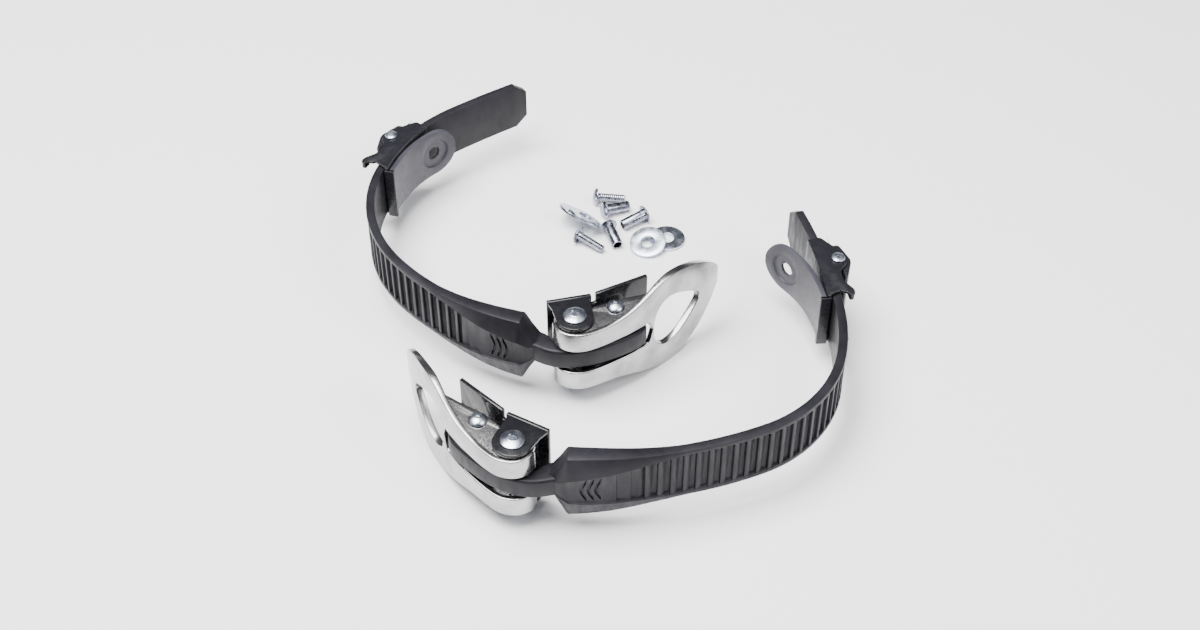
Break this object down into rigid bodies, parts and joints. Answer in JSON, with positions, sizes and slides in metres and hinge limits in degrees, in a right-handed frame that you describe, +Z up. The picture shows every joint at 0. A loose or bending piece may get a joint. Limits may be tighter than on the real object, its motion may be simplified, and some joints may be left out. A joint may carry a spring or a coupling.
{
  "type": "ratchet ladder buckle strap set",
  "caption": "Mirror-image pair of curved ladder straps with over-centre lever buckles, ratchet adjusters and anchor straps, with loose screws, sleeve nuts and washers.",
  "frame": {"origin": "centre of the whole set's bounding box on the floor it stands on", "axes": "+X to the right and +Y away from the viewer as pictured, +Z up; each strap stands on its long edge"},
  "size_m": [0.2126, 0.2488, 0.0486],
  "materials": {
    "strap_black": "satin moulded plastic",
    "lever_steel": "tumbled bright",
    "base_black": "gloss black paint",
    "adjuster_black": "gloss black",
    "zinc": "bright zinc plate",
    "dark_steel": "plain dark steel"
  },
  "bodies": {
    "straps": {"left_ladder_strap": "strap_black", "loose_screw_1": "dark_steel", "loose_screw_2": "dark_steel", "right_ladder_strap": "strap_black", "sleeve_nut_1": "dark_steel", "sleeve_nut_2": "dark_steel", "sleeve_nut_3": "dark_steel", "washer_1": "zinc", "washer_2": "zinc", "washer_3": "zinc", "washer_4": "zinc"},
    "left_lever": {"left_lever": "lever_steel", "left_base_pin": "zinc", "left_base_pin_screw": "zinc", "left_strap_pin": "zinc", "left_strap_pin_screw": "zinc"},
    "left_base": {"left_buckle_base": "base_black"},
    "left_adjuster": {"left_adjuster_frame": "adjuster_black", "left_adjuster_pin": "zinc", "left_adjuster_pin_screw": "zinc", "left_anchor_strap": "strap_black"},
    "left_adjuster_lever": {"left_adjuster_lever": "adjuster_black"},
    "right_lever": {"right_lever": "lever_steel", "right_base_pin": "zinc", "right_base_pin_screw": "zinc", "right_strap_pin": "zinc", "right_strap_pin_screw": "zinc"},
    "right_base": {"right_buckle_base": "base_black"},
    "right_adjuster": {"right_adjuster_frame": "adjuster_black", "right_adjuster_pin": "zinc", "right_adjuster_pin_screw": "zinc", "right_anchor_strap": "strap_black"},
    "right_adjuster_lever": {"right_adjuster_lever": "adjuster_black"}
  },
  "joints": [
    {"name": "left_lever_hinge", "type": "hinge", "parent": "straps", "child": "left_lever", "pos_m": [0.00722, -0.03907, 0.02435], "axis": [0, 0, -1], "range_deg": [0, 115]},
    {"name": "left_base_hinge", "type": "hinge", "parent": "left_lever", "child": "left_base", "pos_m": [-0.00919, -0.04659, 0.02435], "axis": [0, 0, -1], "range_deg": [-115, 0]},
    {"name": "left_ratchet_slide", "type": "hinge", "parent": "straps", "child": "left_adjuster", "pos_m": [-0.0164, 0.03352, 0.02435], "axis": [0, 0, -1], "range_deg": [-1.5, 13]},
    {"name": "left_ratchet_release", "type": "hinge", "parent": "left_adjuster", "child": "left_adjuster_lever", "pos_m": [-0.09441, 0.07698, 0.02435], "axis": [0, 0, 1], "range_deg": [0, 22], "stiffness_Nm_per_rad": 0.05},
    {"name": "right_lever_hinge", "type": "hinge", "parent": "straps", "child": "right_lever", "pos_m": [-0.04512, -0.10156, 0.02435], "axis": [0, 0, 1], "range_deg": [0, 115]},
    {"name": "right_base_hinge", "type": "hinge", "parent": "right_lever", "child": "right_base", "pos_m": [-0.03149, -0.11339, 0.02435], "axis": [0, 0, 1], "range_deg": [-115, 0]},
    {"name": "right_ratchet_slide", "type": "hinge", "parent": "straps", "child": "right_adjuster", "pos_m": [-0.22204, -0.06211, 0.02435], "axis": [0, 0, 1], "range_deg": [-0.2, 3.6]},
    {"name": "right_ratchet_release", "type": "hinge", "parent": "right_adjuster", "child": "right_adjuster_lever", "pos_m": [0.10069, -0.00764, 0.02435], "axis": [0, 0, -1], "range_deg": [0, 22], "stiffness_Nm_per_rad": 0.05}
  ],
  "couplings": [
    {"joint": "left_base_hinge", "follows": "left_lever_hinge", "ratio": -1},
    {"joint": "right_base_hinge", "follows": "right_lever_hinge", "ratio": -1}
  ]
}
